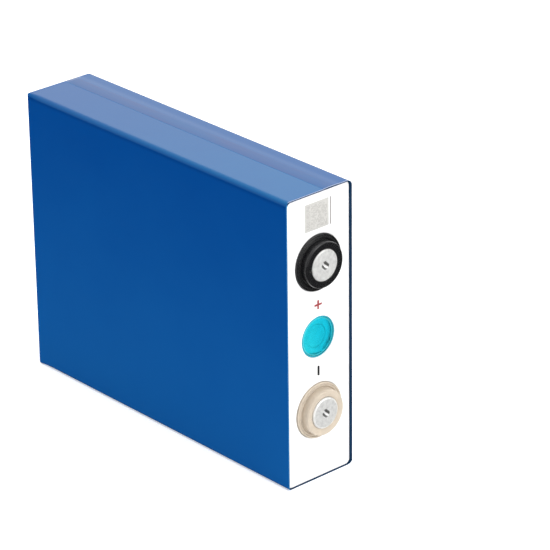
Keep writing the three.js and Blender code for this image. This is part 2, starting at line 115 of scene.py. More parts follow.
FILM_CORNER = 2.3 * MM
LEAST_CORNER = 0.1 * MM
FILM_END_ROUND = 0.8 * MM
FAR_CORNER = 0.9 * MM  # the fold at the far end pulls the front long edges sharp
FAR_CORNER_REACH = 9 * MM
BOTTOM_SET_BACK = 1.0 * MM  # the film is cut shorter along its lower edge
FOLD_SET_BACK = 1.7 * MM  # the flaps start this far inside the film's sides
CUT_GAP = 0.08 * MM  # keeps the ragged cut edge inside the film's own length
RAGGED = 0.05 * MM
SIDE_STRIP = 0.45 * MM  # width of the painted highlight strip beside the cut edge
# The strip along the top of the lip is a painted highlight too.
TOP_STRIP = 0.95 * MM

# The lap on the upper narrow side, as places along Y.
LAP_FREE_EDGE = 2.7 * MM
LAP_FREE_HEIGHT = 0.07 * MM
LAP_UNDERCUT = 0.05 * MM
LAP_FULL_FROM = 5.2 * MM  # the lap thins out from here to its free edge
LAP_BURIED_EDGE = 8.0 * MM
LAP_SLOPE_END = 12.5 * MM
BAND_REACH = 8.8 * MM  # the doubled film shows to here

# ---- Measures shared by several finishes and pieces --------------------------------

FILM_TINT = (0.2, 1.0, 1.0, 1.0)  # the film's shine has little red in it
FILM_IOR = 1.47
NOISE_SPAN = (0.3, 0.7)  # noise seldom leaves this range

SMOOTH_TO = math.radians(50)  # faces that meet at less are shaded as one
FILM_SMOOTH_TO = math.radians(28)
ROUND_FROM = math.radians(40)  # sharper edges are rounded
SAME_POINT = 1e-8  # points this close are welded
ON_FACE = 0.01 * MM  # points this close to a flat side count as on it


# ---- Materials ---------------------------------------------------------------------


class Finish:
    """A procedural material, put together node by node."""

    def __init__(self, name, colour, roughness, metallic=0.0):
        self.material = bpy.data.materials.new(name)
        self.material.use_nodes = True
        self.tree = self.material.node_tree
        self.shader = self.tree.nodes["Principled BSDF"]
        self.set("Base Color", (*colour, 1))
        self.set("Roughness", roughness)
        self.set("Metallic", metallic)
        self.place = self.node("ShaderNodeTexCoord").outputs["Object"]
        self.last_bump = None

    def set(self, socket, value):
        self.shader.inputs[socket].default_value = value

    def feed(self, socket, value):
        """Links the socket to a node's output, or sets it to a plain value."""
        if isinstance(value, bpy.types.NodeSocket):
            self.tree.links.new(value, socket)
        else:
            socket.default_value = value

    def node(self, kind, inputs=None, **settings):
        made = self.tree.nodes.new(kind)
        for key, value in settings.items():
            setattr(made, key, value)
        for key, value in (inputs or {}).items():
            self.feed(made.inputs[key], value)
        return made

    def axes(self, vector):
        """The X, Y and Z of a vector."""
        return self.node("ShaderNodeSeparateXYZ", {"Vector": vector}).outputs

    def from_centre(self, centre):
        """The place on the object, measured from the centre."""
        moved = self.node("ShaderNodeMapping", {"Vector": self.place, "Location": -centre})
        return moved.outputs["Vector"]

    def noise(self, size, detail=4.0, stretch=(1, 1, 1), distortion=0.0, rough=0.55):
        """Noise whose features are about size metres across, drawn out by stretch."""
        scale = [1 / (size * share) for share in stretch]
        mapped = self.node("ShaderNodeMapping", {"Vector": self.place, "Scale": scale})
        settings = {
            "Vector": mapped.outputs["Vector"],
            "Scale": 1.0,
            "Detail": detail,
            "Roughness": rough,
            "Distortion": distortion,
        }
        return self.node("ShaderNodeTexNoise", settings).outputs["Fac"]

    def ranged(self, value, low, high, to_low, to_high):
        """The value, moved from the first range to the second and held inside it."""
        settings = {
            "Value": value,
            "From Min": low,
            "From Max": high,
            "To Min": to_low,
            "To Max": to_high,
        }
        return self.node("ShaderNodeMapRange", settings).outputs["Result"]

    def patches(self, value, low=0.0, high=1.0):
        """Noise spread over its usual range, from low to high."""
        return self.ranged(value, *NOISE_SPAN, low, high)

    def specks(self, value, start, full, share):
        """A mask of the places where noise is high: nothing at start, share from full on."""
        return self.ranged(value, start, full, 0.0, share)

    def mixed(self, share, first, second):
        """The first colour where the share is 0, the second where it is 1."""
        made = self.node("ShaderNodeMix", data_type="RGBA")
        sockets = [socket for socket in made.inputs if socket.enabled]
        for socket, value in zip(sockets, (share, first, second)):
            self.feed(socket, (*value, 1) if isinstance(value, tuple) else value)
        return next(socket for socket in made.outputs if socket.enabled)

    def times(self, *factors):
        """The product of several masks."""
        product = factors[0]
        for factor in factors[1:]:
            made = self.node("ShaderNodeMath", {0: product, 1: factor}, operation="MULTIPLY")
            product = made.outputs["Value"]
        return product

    def colour(self, tone):
        self.tree.links.new(tone, self.shader.inputs["Base Color"])

    def roughness(self, value, low, high, span=NOISE_SPAN):
        """Roughness that follows noise, from low to high."""
        rough = self.ranged(value, *span, low, high)
        self.tree.links.new(rough, self.shader.inputs["Roughness"])

    def bump(self, height, distance, strength):
        """Adds a bump of the given depth in metres on top of the earlier ones."""
        settings = {"Height": height, "Distance": distance, "Strength": strength}
        if self.last_bump:
            settings["Normal"] = self.last_bump
        self.last_bump = self.node("ShaderNodeBump", settings).outputs["Normal"]
        self.tree.links.new(self.last_bump, self.shader.inputs["Normal"])

    def worn_and_highlit_edges(self, radius):
        """A mask that is 1 on sharp edges, for wear and for painted edge highlights: it compares
        the true normal with a rounded one.
        """
        flat, sharp = 0.996, 0.88
        rounded = self.node("ShaderNodeBevel", {"Radius": radius}, samples=6)
        true = self.node("ShaderNodeNewGeometry")
        alike = self.node(
            "ShaderNodeVectorMath",
            {0: rounded.outputs["Normal"], 1: true.outputs["Normal"]},
            operation="DOT_PRODUCT",
        )
        return self.ranged(alike.outputs["Value"], flat, sharp, 0.0, 1.0)


def shade(colour, factor):
    return tuple(min(1.0, channel * factor) for channel in colour)


def film_shine(made):
    made.set("IOR", FILM_IOR)
    made.set("Specular Tint", FILM_TINT)


def blue_film():
    """Blue film, with painted shading: lighter low down and darker higher up, and a painted sheen
    on its upward faces towards the terminals.
    """
    lit_low_blue = (0.0043, 0.084, 0.296)
    shaded_high_blue = (0.0005, 0.052, 0.238)
    top_sheen_blue = (0.0004, 0.077, 0.264)
    crease_shade_blue = (0.0003, 0.040, 0.195)
    edge_highlight_blue = (0.01, 0.14, 0.40)
    made = Finish("blue_film", lit_low_blue, 0.1)
    film_shine(made)
    place = made.axes(made.place)
    # Painted shading: the film is lighter low down and darker higher up.
    drift = made.patches(made.noise(40 * MM, 3), -9 * MM, 9 * MM)
    height = made.node("ShaderNodeMath", {0: place["Z"], 1: drift}, operation="ADD")
    share = made.ranged(height.outputs["Value"], 5 * MM, 125 * MM, 0.0, 1.0)
    tone = made.mixed(share, lit_low_blue, shaded_high_blue)
    normal = made.node("ShaderNodeNewGeometry").outputs["Normal"]
    # Painted sheen: upward faces towards the terminals are lighter.
    top_sheen_mask = made.times(
        made.ranged(made.axes(normal)["Z"], 0.5, 0.95, 0.0, 1.0),
        made.ranged(place["X"], -70 * MM, 70 * MM, 0.0, 1.0),
        made.ranged(place["Y"], 3 * MM, 8 * MM, 1.0, 0.0),
        made.patches(made.noise(25 * MM, 3), 0.75, 1.2),
    )
    tone = made.mixed(top_sheen_mask, tone, top_sheen_blue)
    # A painted shade line runs along the long edges, just under the upper rounding.
    crease = BASE_TOP - FILM_CORNER + 0.3 * MM
    crease_shade_mask = made.times(
        made.ranged(place["Z"], crease - 1.4 * MM, crease, 0.0, 1.0),
        made.ranged(place["Z"], crease + 0.3 * MM, crease + 1.2 * MM, 1.0, 0.0),
    )
    tone = made.mixed(crease_shade_mask, tone, crease_shade_blue)
    # Sharp edges are painted lighter as a highlight.
    made.colour(made.mixed(made.worn_and_highlit_edges(0.5 * MM), tone, edge_highlight_blue))
    streaks = made.noise(1.2 * MM, 5, stretch=(30, 1, 1))
    made.roughness(streaks, 0.08, 0.14, span=(0.35, 0.75))
    made.bump(made.noise(14 * MM, 2), 0.05 * MM, 0.5)
    made.bump(made.noise(0.35 * MM, 4), 0.003 * MM, 0.4)
    return made.material


def lap_band():
    """The doubled film beside the lap's free edge looks a little duller and redder."""
    blue = (0.005, 0.056, 0.232)
    reddish = (0.024, 0.048, 0.205)
    made = Finish("lap_band", blue, 0.12)
    film_shine(made)
    mottle = made.patches(made.noise(9 * MM, 3, stretch=(3, 1, 1)))
    made.colour(made.mixed(mottle, blue, reddish))
    made.roughness(made.noise(1 * MM, 4), 0.09, 0.15)
    made.bump(made.noise(6 * MM, 3), 0.02 * MM, 0.4)
    made.bump(made.noise(0.35 * MM, 4), 0.003 * MM, 0.4)
    return made.material


def film_edge_highlight(name, pale):
    """A strip close to the film's cut edge, painted pale as a highlight."""
    made = Finish(name, pale, 0.3)
    frayed = made.noise(0.6 * MM, 4)
    made.colour(made.mixed(frayed, shade(pale, 0.8), shade(pale, 1.25)))
    made.roughness(frayed, 0.2, 0.4)
    made.bump(frayed, 0.02 * MM, 0.5)
    return made.material


def film_inside_shade():
    """The film's cut edge and inner face, painted dark navy as shade inside the wrap."""
    navy = (0.002, 0.030, 0.085)
    made = Finish("film_inside_shade", navy, 0.35)
    made.set("IOR", 1.2)
    smears = made.noise(2 * MM, 4, stretch=(1, 3, 3))
    made.colour(made.mixed(smears, shade(navy, 0.7), shade(navy, 1.3)))
    made.roughness(smears, 0.28, 0.45)
    made.bump(smears, 0.02 * MM, 0.5)
    return made.material


def white_sheet():
    """Printed white board on the lid, faintly mottled and a little grey on its edges."""
    white = (0.92, 0.92, 0.92)
    cream = (0.905, 0.905, 0.90)
    wear_and_highlight_tone = (0.86, 0.87, 0.87)
    made = Finish("white_sheet", white, 0.42)
    tone = made.mixed(made.patches(made.noise(8 * MM, 4)), cream, white)
    made.colour(made.mixed(made.worn_and_highlit_edges(0.25 * MM), tone, wear_and_highlight_tone))
    made.roughness(made.noise(0.4 * MM, 5), 0.36, 0.5, span=(0.35, 0.65))
    made.bump(made.noise(0.25 * MM, 4), 0.006 * MM, 0.6)
    return made.material


def moulded(name, colour, roughness, speck, edge):
    """Moulded plastic: fine spark-eroded grain, faint flow clouds and a painted highlight on sharp
    edges.
    """
    made = Finish(name, colour, roughness)
    flow = made.patches(made.noise(6 * MM, 3, distortion=1.5))
    grain = made.noise(0.22 * MM, 5)
    tone = made.mixed(flow, shade(colour, 0.93), shade(colour, 1.07))
    tone = made.mixed(made.specks(grain, 0.62, 0.72, 0.5), tone, speck)
    # The edge colour is a painted highlight on sharp edges.
    made.colour(made.mixed(made.worn_and_highlit_edges(0.3 * MM), tone, edge))
    made.roughness(grain, roughness - 0.06, roughness + 0.09, span=(0.35, 0.65))
    made.bump(grain, 0.012 * MM, 0.6)
    made.bump(made.noise(2.5 * MM, 2), 0.02 * MM, 0.5)
    return made.material


def metal(name, colour, roughness, tarnish):
    """Bare sheet metal: rolling lines along X, cloudy oxide and bright edges."""
    made = Finish(name, colour, roughness, 1.0)
    cloud = made.ranged(made.noise(5 * MM, 4), 0.35, 0.7, 0.0, 1.0)
    lines = made.noise(0.3 * MM, 4, stretch=(25, 1, 1))
    tone = made.mixed(cloud, colour, tarnish)
    made.colour(made.mixed(made.worn_and_highlit_edges(0.25 * MM), tone, shade(colour, 1.12)))
    made.roughness(lines, roughness - 0.08, roughness + 0.12)
    made.bump(lines, 0.005 * MM, 0.6)
    return made.material


def turned_metal(name, centre, pale=(0.66, 0.66, 0.645)):
    """Terminal face: pale, blasted aluminium with faint turning rings round its centre."""
    wear_and_highlight_tone = (0.90, 0.90, 0.89)
    ring_pitch = 2.4 * MM
    made = Finish(name, pale, 0.42, 0.3)
    rings = made.node(
        "ShaderNodeTexWave",
        {
            "Vector": made.from_centre(centre),
            "Scale": 1 / ring_pitch,
            "Distortion": 0.6,
            "Detail": 2.0,
        },
        wave_type="RINGS",
        rings_direction="X",
    ).outputs["Fac"]
    speckle = made.noise(0.3 * MM, 5, rough=0.7)
    pits = made.specks(speckle, 0.58, 0.72, 0.6)
    blotch = made.patches(made.noise(1.6 * MM, 3))
    tone = made.mixed(blotch, shade(pale, 0.86), shade(pale, 1.12))
    tone = made.mixed(pits, tone, shade(pale, 0.5))
    # Sharp edges of the pad are painted lighter as a highlight.
    made.colour(made.mixed(made.worn_and_highlit_edges(0.2 * MM), tone, wear_and_highlight_tone))
    made.roughness(speckle, 0.34, 0.55)
    made.bump(rings, 0.006 * MM, 0.5)
    made.bump(speckle, 0.02 * MM, 0.7)
    return made.material


def drilled_metal(name, centre):
    """The cone in the middle of a terminal face: bright, with two dark patches of painted shade.
    """
    bright = (0.74, 0.74, 0.73)
    dark = (0.10, 0.10, 0.095)
    diagonal = (0, 1, 1)
    made = Finish(name, bright, 0.3, 0.25)
    across = made.node(
        "ShaderNodeVectorMath", {0: made.from_centre(centre), 1: diagonal}, operation="DOT_PRODUCT"
    )
    offset = made.node("ShaderNodeMath", {0: across.outputs["Value"]}, operation="ABSOLUTE")
    offset = offset.outputs["Value"]
    # Two dark patches either side of a bright band are painted shade in the cone.
    marks = made.times(
        made.ranged(offset, 0.45 * MM, 0.8 * MM, 0.0, 1.0),
        made.ranged(offset, 1.9 * MM, 2.5 * MM, 1.0, 0.0),
    )
    lines = made.noise(0.25 * MM, 4, stretch=(1, 6, 6))
    tone = made.mixed(lines, shade(bright, 0.85), shade(bright, 1.15))
    made.colour(made.mixed(marks, tone, dark))
    made.roughness(lines, 0.22, 0.4)
    made.bump(lines, 0.01 * MM, 0.5)
    return made.material


def teal_film():
    """Clear blue-green film over the vent, painted lighter and greener on the front side and
    darker at the back as shading.
    """
    teal = (0.09, 0.75, 0.83)
    front_lit_teal = (0.13, 0.79, 0.84)
    back_shaded_teal = (0.05, 0.69, 0.80)
    cloud_teal = (0.08, 0.75, 0.86)
    edge_teal = (0.05, 0.62, 0.74)
    made = Finish("teal_film", teal, 0.10)
    made.set("IOR", 1.25)
    made.set("Transmission Weight", 1.0)
    made.set("Coat Weight", 0.8)
    made.set("Coat Roughness", 0.06)
    # Painted shading: lighter at the front, darker at the back.
    share = made.ranged(made.axes(made.place)["Y"], -6 * MM, 6 * MM, 0.0, 1.0)
    tone = made.mixed(share, front_lit_teal, back_shaded_teal)
    tone = made.mixed(made.patches(made.noise(5 * MM, 2), 0.0, 0.5), tone, cloud_teal)
    # Sharp edges are darker.
    made.colour(made.mixed(made.worn_and_highlit_edges(0.2 * MM), tone, edge_teal))
    made.roughness(made.noise(0.8 * MM, 4), 0.08, 0.2)
    made.bump(made.noise(3.5 * MM, 2, distortion=0.8), 0.06 * MM, 0.6)
    return made.material


def teal_rim():
    """The glued rim of the vent's film: the same blue-green, seen against its glue."""
    teal = (0.018, 0.36, 0.46)
    made = Finish("teal_rim", teal, 0.22)
    glue = made.noise(0.9 * MM, 4)
    made.colour(made.mixed(glue, shade(teal, 0.75), shade(teal, 1.3)))
    made.roughness(glue, 0.15, 0.32)
    made.bump(glue, 0.02 * MM, 0.5)
    return made.material


def ink(name, colour):
    """Screen-printed ink: uneven cover and a soft matt surface."""
    made = Finish(name, colour, 0.55)
    cover = made.noise(0.35 * MM, 5)
    thin = made.specks(cover, 0.56, 0.72, 0.45)
    made.colour(made.mixed(thin, colour, shade(colour, 1.5)))
    made.roughness(cover, 0.48, 0.66)
    made.bump(cover, 0.01 * MM, 0.6)
    return made.material


def label_stock():
    """Pale grey label paper with short fibres."""
    paper = (0.53, 0.52, 0.495)
    made = Finish("label_stock", paper, 0.6)
    fibre = made.noise(0.25 * MM, 5, stretch=(1, 2, 1))
    patch = made.ranged(made.noise(2.4 * MM, 3), 0.35, 0.65, 0.0, 1.0)
    tone = made.mixed(patch, shade(paper, 0.95), shade(paper, 1.05))
    made.colour(made.mixed(made.specks(fibre, 0.58, 0.7, 0.5), tone, shade(paper, 0.8)))
    made.roughness(fibre, 0.52, 0.7)
    made.bump(fibre, 0.008 * MM, 0.6)
    return made.material


def rubber(name, colour):
    """Dull sealing rubber with dust on it."""
    made = Finish(name, colour, 0.7)
    dust = made.noise(0.5 * MM, 5)
    made.colour(made.mixed(made.specks(dust, 0.5, 0.7, 0.5), colour, shade(colour, 1.6)))
    made.roughness(dust, 0.62, 0.82)
    made.bump(dust, 0.02 * MM, 0.6)
    return made.material


def clear_wrap(name, colour, roughness):
    """Thin plastic film of the bag and the tape: faint wrinkles and a cloudy sheen."""
    made = Finish(name, colour, roughness)
    wrinkle = made.noise(9 * MM, 4, stretch=(2, 1, 1), distortion=1.0)
    made.colour(made.mixed(wrinkle, shade(colour, 0.9), shade(colour, 1.1)))
    made.roughness(wrinkle, roughness - 0.08, roughness + 0.1)
    made.bump(wrinkle, 0.15 * MM, 0.5)
    return made.material


def wound_roll():
    """Outer separator turn of the wound electrodes, with winding lines along the roll."""
    grey = (0.32, 0.34, 0.36)
    made = Finish("wound_roll", grey, 0.6)
    turns = made.noise(0.5 * MM, 4, stretch=(60, 1, 40))
    made.colour(made.mixed(turns, shade(grey, 0.8), shade(grey, 1.2)))
    made.roughness(turns, 0.5, 0.7)
    made.bump(turns, 0.05 * MM, 0.6)
    return made.material


ALUMINIUM = metal("aluminium", (0.80, 0.81, 0.82), 0.34, (0.70, 0.71, 0.73))
FINISHES = {
    "blue_film": blue_film(),
    "aluminium": ALUMINIUM,
    "terminal_aluminium": ALUMINIUM,
    "copper": metal("copper", (0.78, 0.42, 0.27), 0.32, (0.60, 0.32, 0.22)),
    "white_sheet": white_sheet(),
    "label_stock": label_stock(),
    "label_ink": ink("label_ink", (0.43, 0.42, 0.40)),
    "bar_ink": ink("bar_ink", (0.27, 0.25, 0.25)),
    "red_ink": ink("red_ink", (0.33, 0.034, 0.04)),
    "black_ink": ink("black_ink", (0.012, 0.012, 0.013)),
    # The last colour of each moulding is its painted edge highlight.
    "black_plastic": moulded(
        "black_plastic", (0.009, 0.009, 0.01), 0.27, (0.04, 0.04, 0.04), (0.12, 0.12, 0.12)
    ),
    "beige_plastic": moulded(
        "beige_plastic", (0.55, 0.47, 0.375), 0.4, (0.48, 0.40, 0.31), (0.76, 0.72, 0.66)
    ),
    "natural_plastic": moulded(
        "natural_plastic", (0.78, 0.77, 0.72), 0.45, (0.7, 0.69, 0.64), (0.88, 0.88, 0.85)
    ),
    "teal_film": teal_film(),
    "seal_rubber": rubber("seal_rubber", (0.035, 0.035, 0.035)),
    "bag_film": clear_wrap("bag_film", (0.6, 0.68, 0.72), 0.25),
    "green_tape": clear_wrap("green_tape", (0.05, 0.28, 0.08), 0.35),
    "roll_skin": wound_roll(),
}


# ---- Mesh helpers ------------------------------------------------------------------


def placed(name, data):
    """A new object in the scene for the given mesh, light or camera."""
    made = bpy.data.objects.new(name, data)
    bpy.context.scene.collection.objects.link(made)
    return made


def placed_mesh(name, work):
    """A new object in the scene, with its mesh taken from the finished work."""
    mesh = bpy.data.meshes.new(name)
    work.to_mesh(mesh)
    work.free()
    return placed(name, mesh)


def new_piece(name, vertices, faces, slot_name, smooth_to=SMOOTH_TO, **kind):
    """Makes a closed mesh in place; kind may hold another finish or body for it."""
    mesh = bpy.data.meshes.new(name)
    mesh.from_pydata([tuple(vertex) for vertex in vertices], [], faces)
    mesh.validate()
    made = placed(name, mesh)
    finish_piece(made, slot_name, smooth_to, **kind)
    return made


def finish_piece(made, slot_name, smooth_to=SMOOTH_TO, finish=None, body="cell"):
    """Shades a piece, gives it the finish of its slot and lets it ride on a CAD body."""
    weld(made.data)
    made.data.materials.append(finish or FINISHES[slot_name])
    made.data.polygons.foreach_set("use_smooth", [True] * len(made.data.polygons))
    made.data.set_sharp_from_angle(angle=smooth_to)
    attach(made, body)


def weld(mesh):
    """Joins points that lie on each other and turns all faces outwards."""
    work = bmesh.new()
    work.from_mesh(mesh)
    bmesh.ops.remove_doubles(work, verts=work.verts, dist=SAME_POINT)
    bmesh.ops.recalc_face_normals(work, faces=work.faces)
    work.to_mesh(mesh)
    work.free()


def stitched(rings, rings_closed=False, points_closed=True):
    """Vertices and faces that join equally long rows of points one after another."""
    count = len(rings[0])
    vertices = [point for ring in rings for point in ring]
    faces = []
    for ring in range(len(rings) if rings_closed else len(rings) - 1):
        after = (ring + 1) % len(rings)
        for here in range(count if points_closed else count - 1):
            following = (here + 1) % count
            quad = (ring, here), (ring, following), (after, following), (after, here)
            faces.append([row * count + column for row, column in quad])
    return vertices, faces


def shares(steps):
    """The values from 0 to 1 in equal steps, with both ends."""
    return [step / steps for step in range(steps + 1)]


def run(start, end, steps):
    """Evenly spaced values from start towards end, without either of them."""
    return [start + (end - start) * step / steps for step in range(1, steps)]


def arc(centre_y, centre_z, radius, start, end, steps):
    """Points (y, z) along part of a circle, between two angles in degrees."""
    points = []
    for share in shares(steps):
        angle = math.radians(start + (end - start) * share)
        points.append((centre_y + radius * math.cos(angle), centre_z + radius * math.sin(angle)))
    return points


def filleted(corners, steps=6):
    """A profile in metres, its corners (radius, height, fillet) in millimetres rounded."""
    corners = [(radius * MM, height * MM, fillet * MM) for radius, height, fillet in corners]
    points = []
    for index, (radius, height, fillet) in enumerate(corners):
        here = Vector((radius, height))
        if fillet <= 0:
            points.append(here)
            continue
        before = Vector(corners[index - 1][:2]) - here
        after = Vector(corners[(index + 1) % len(corners)][:2]) - here
        reach = min(fillet, before.length * 0.49, after.length * 0.49)
        start = here + before.normalized() * reach
        end = here + after.normalized() * reach
        for share in shares(steps):
            left = 1 - share
            points.append(start * left**2 + here * 2 * share * left + end * share**2)
    return points


def turned_piece(name, corners, centre, slot_name, segments=160, **kind):
    """A piece turned about X; its profile is a closed loop, or starts and ends on the axis."""
    profile = filleted(corners)
    rings = []
    for segment in range(segments):
        angle = 2 * math.pi * segment / segments
        across, up = math.cos(angle), math.sin(angle)
        ring = []
        for radius, height in profile:
            y = centre.y + radius * across
            z = centre.z + radius * up
            ring.append(Vector((LIP + height, y, z)))
        rings.append(ring)
    on_axis = corners[0][0] == 0
    vertices, faces = stitched(rings, rings_closed=True, points_closed=not on_axis)
    return new_piece(name, vertices, faces, slot_name, **kind)


def prism(name, outline, low, high, slot_name, edge=0.0, holes=(), **kind):
    """A flat plate along X with the given (y, z) outline, round holes and rounded edges."""
    work = bmesh.new()
    edges = []
    for loop in [outline] + list(holes):
        ring = [work.verts.new((low, y, z)) for y, z in loop]
        for here, following in zip(ring, ring[1:] + ring[:1]):
            edges.append(work.edges.new((here, following)))
    filled = bmesh.ops.triangle_fill(work, edges=edges, use_beauty=True)
    faces = [item for item in filled["geom"] if isinstance(item, bmesh.types.BMFace)]
    raised = bmesh.ops.extrude_face_region(work, geom=faces)
    moved = [item for item in raised["geom"] if isinstance(item, bmesh.types.BMVert)]
    bmesh.ops.translate(work, verts=moved, vec=(high - low, 0, 0))
    bmesh.ops.recalc_face_normals(work, faces=work.faces)
    made = placed_mesh(name, work)
    if edge:
        round_edges(made, edge)
    finish_piece(made, slot_name, **kind)
    return made


def round_edges(made, width):
    """Rounds a piece's sharp edges and applies the result to its mesh."""
    bevel = made.modifiers.new("rounded", "BEVEL")
    bevel.width = width
    bevel.segments = 3
    bevel.limit_method = "ANGLE"
    bevel.angle_limit = ROUND_FROM
    bevel.use_clamp_overlap = True
    apply_modifiers(made)


def apply_modifiers(made):
    graph = bpy.context.evaluated_depsgraph_get()
    final = bpy.data.meshes.new_from_object(made.evaluated_get(graph))
    made.modifiers.clear()
    made.data = final


# ---- The blue film -----------------------------------------------------------------


def corner_at(x):
    """Radius of the front long edges: full along the cell, sharp at the folded far end."""
    share = min(1.0, max(0.0, (x - FAR) / FAR_CORNER_REACH))
    return FAR_CORNER + (FILM_CORNER - FAR_CORNER) * share * (2 - share)


def film_outline(inset, front_corner=FILM_CORNER):
    """Points (y, z) round the film's section, anticlockwise from its lower front corner.

    The lap's free edge is a step on the upper narrow side; its far edge slopes down.
    """
    front, back = FILM_LOW.y + inset, FILM_HIGH.y - inset
    bottom, top = FILM_LOW.z + inset, BASE_TOP - inset
    corner = max(front_corner - inset, LEAST_CORNER)
    rear = max(FILM_CORNER - inset, LEAST_CORNER)
    lap = LAP if inset == 0 else 0.0
    round_steps, side_steps, slope_steps, lap_steps = 10, 36, 6, 4
    bottom_steps, top_steps = 12, 14
    points = arc(front + corner, bottom + corner, corner, 180, 270, round_steps)
    points += [(y, bottom) for y in run(front + corner, back - rear, bottom_steps)]
    points += arc(back - rear, bottom + rear, rear, 270, 360, round_steps)
    points += [(back, z) for z in run(bottom + rear, top - rear, side_steps)]
    points += arc(back - rear, top - rear, rear, 0, 90, round_steps)
    points += [(y, top) for y in run(back - rear, LAP_SLOPE_END, lap_steps)]
    for share in shares(slope_steps):
        y = LAP_SLOPE_END + (LAP_BURIED_EDGE - LAP_SLOPE_END) * share
        points.append((y, top + lap * (3 * share**2 - 2 * share**3)))
    points += [(y, top + lap) for y in run(LAP_BURIED_EDGE, LAP_FULL_FROM, lap_steps)]
    points.append((LAP_FULL_FROM, top + lap))
    points.append((LAP_FREE_EDGE, top + min(lap, LAP_FREE_HEIGHT)))
    points.append((LAP_FREE_EDGE - LAP_UNDERCUT, top))
    points += [(y, top) for y in run(LAP_FREE_EDGE, front + corner, top_steps)]
    points += arc(front + corner, top - corner, corner, 90, 180, round_steps)
    points += [(front, z) for z in run(top - corner, bottom + corner, side_steps)]
    return points


def lip_at(z):
    """Where the film ends: its cut edge is set back on the lower narrow side."""
    share = min(1.0, max(0.0, (z - FILM_LOW.z) / FILM_CORNER))
    return LIP - BOTTOM_SET_BACK * (1 - share) ** 2


def depth_in_film(y, z):
    """How far a point of the section lies inside the film's outer face."""
    over_y = abs(y) - (FILM_HIGH.y - FILM_CORNER)
    over_z = abs(z - MIDDLE_Z) - (HALF_Z - FILM_CORNER)
    outside = math.hypot(max(over_y, 0), max(over_z, 0))
    return FILM_CORNER - outside - min(max(over_y, over_z), 0)


def film_wave(x, y, z):
    """How far the film dips under its flat plane: slow waves and shallower quick ones."""
    slow_rate, quick_rate = 22, 70  # waves per metre, roughly
    slow = noise.noise(Vector((x * slow_rate, y * slow_rate, z * slow_rate)))
    quick = noise.noise(Vector((x * quick_rate + 5, y * quick_rate, z * quick_rate)))
    return 0.03 * MM * (slow + 1) + 0.012 * MM * (quick + 1)


def dipped(x, y, z):
    """The outline's point pushed a little inwards where the film is slack."""
    dip = film_wave(x, y, z)
    if abs(y - FILM_LOW.y) < ON_FACE:
        y += dip
    elif abs(y - FILM_HIGH.y) < ON_FACE:
        y -= dip
    elif z > BASE_TOP - ON_FACE:
        z -= dip * 0.5
    return Vector((x, y, z))


def film_face_material(centre, normal):
    """Slot of the material for one face: film, doubled band, painted highlight strip or painted
    inner shade.
    """
    plain, band, edge, inside, top_edge_highlight = range(5)
    depth = depth_in_film(centre.y, centre.z)
    # Inner faces near the lip take the painted navy shade.
    if centre.x > LIP - 4 * MM and depth > FILM_WALL * 0.3:
        return inside
    # The cut edge is painted: a dark shade line along the top, a pale highlight strip elsewhere.
    if centre.x > lip_at(centre.z) - SIDE_STRIP:
        return inside if centre.z > BASE_TOP - 1 * MM else edge
    # A pale strip along the top of the lip is a painted highlight.
    if centre.x > LIP - TOP_STRIP and centre.z > BASE_TOP - 0.2 * MM:
        return top_edge_highlight
    on_lap = LAP_FREE_EDGE + LAP_UNDERCUT < centre.y < BAND_REACH
    raised = centre.z > BASE_TOP + LAP * 0.1 and normal.z > 0.5
    return band if on_lap and raised else plain


def far_end_rings():
    """The rounding of the far end, from its flat face out to the film's full section."""
    rings = []
    for share in shares(6):
        angle = math.radians(90 * share)
        inset = FILM_END_ROUND * (1 - math.sin(angle))
        x = END_FACE + FILM_END_ROUND * (1 - math.cos(angle))
        section = film_outline(inset, corner_at(x))
        rings.append([Vector((x, y, min(z, BASE_TOP - inset))) for y, z in section])
    return rings


def outer_rings():
    """The slightly wavy outside, up to the strips beside the cut edge."""
    start = END_FACE + FILM_END_ROUND + 0.4 * MM
    rings = []
    for x in [start] + run(start, LIP - 2 * MM, 90):
        rings.append([dipped(x, y, z) for y, z in film_outline(0, corner_at(x))])
    for strip in (TOP_STRIP, SIDE_STRIP):
        rings.append([dipped(lip_at(z) - strip, y, z) for y, z in film_outline(0)])
    return rings


def cut_edge_rings():
    """The ragged cut edge, rounded over from the outer to the inner face."""
    rag_rate = 120
    outer, inner = film_outline(0), film_outline(FILM_WALL)
    rings = []
    for share in shares(6):
        angle = math.radians(180 * share)
        inward = (1 - math.cos(angle)) / 2
        ring = []
        for (outer_y, outer_z), (inner_y, inner_z) in zip(outer, inner):
            y = outer_y + (inner_y - outer_y) * inward
            z = outer_z + (inner_z - outer_z) * inward
            ragged = RAGGED * noise.noise(Vector((3, y * rag_rate, z * rag_rate)))
            x = lip_at(z) - CUT_GAP - FILM_WALL / 2 * (1 - math.sin(angle)) + ragged
            ring.append(Vector((x, y, z)))
        rings.append(ring)
    return rings


def inner_rings():
    """The inside, from just below the cut edge to the floor at the far end."""
    inner, floor_outline = film_outline(FILM_WALL), film_outline(FILM_WALL + 0.9 * MM)
    rings = []
    for x in (LIP - 3 * MM, LIP - 60 * MM, END_FACE + FILM_END_ROUND):
        rings.append([Vector((x, y, z)) for y, z in inner])
    rings.append([Vector((END_FACE + FILM_WALL, y, z)) for y, z in floor_outline])
    return rings


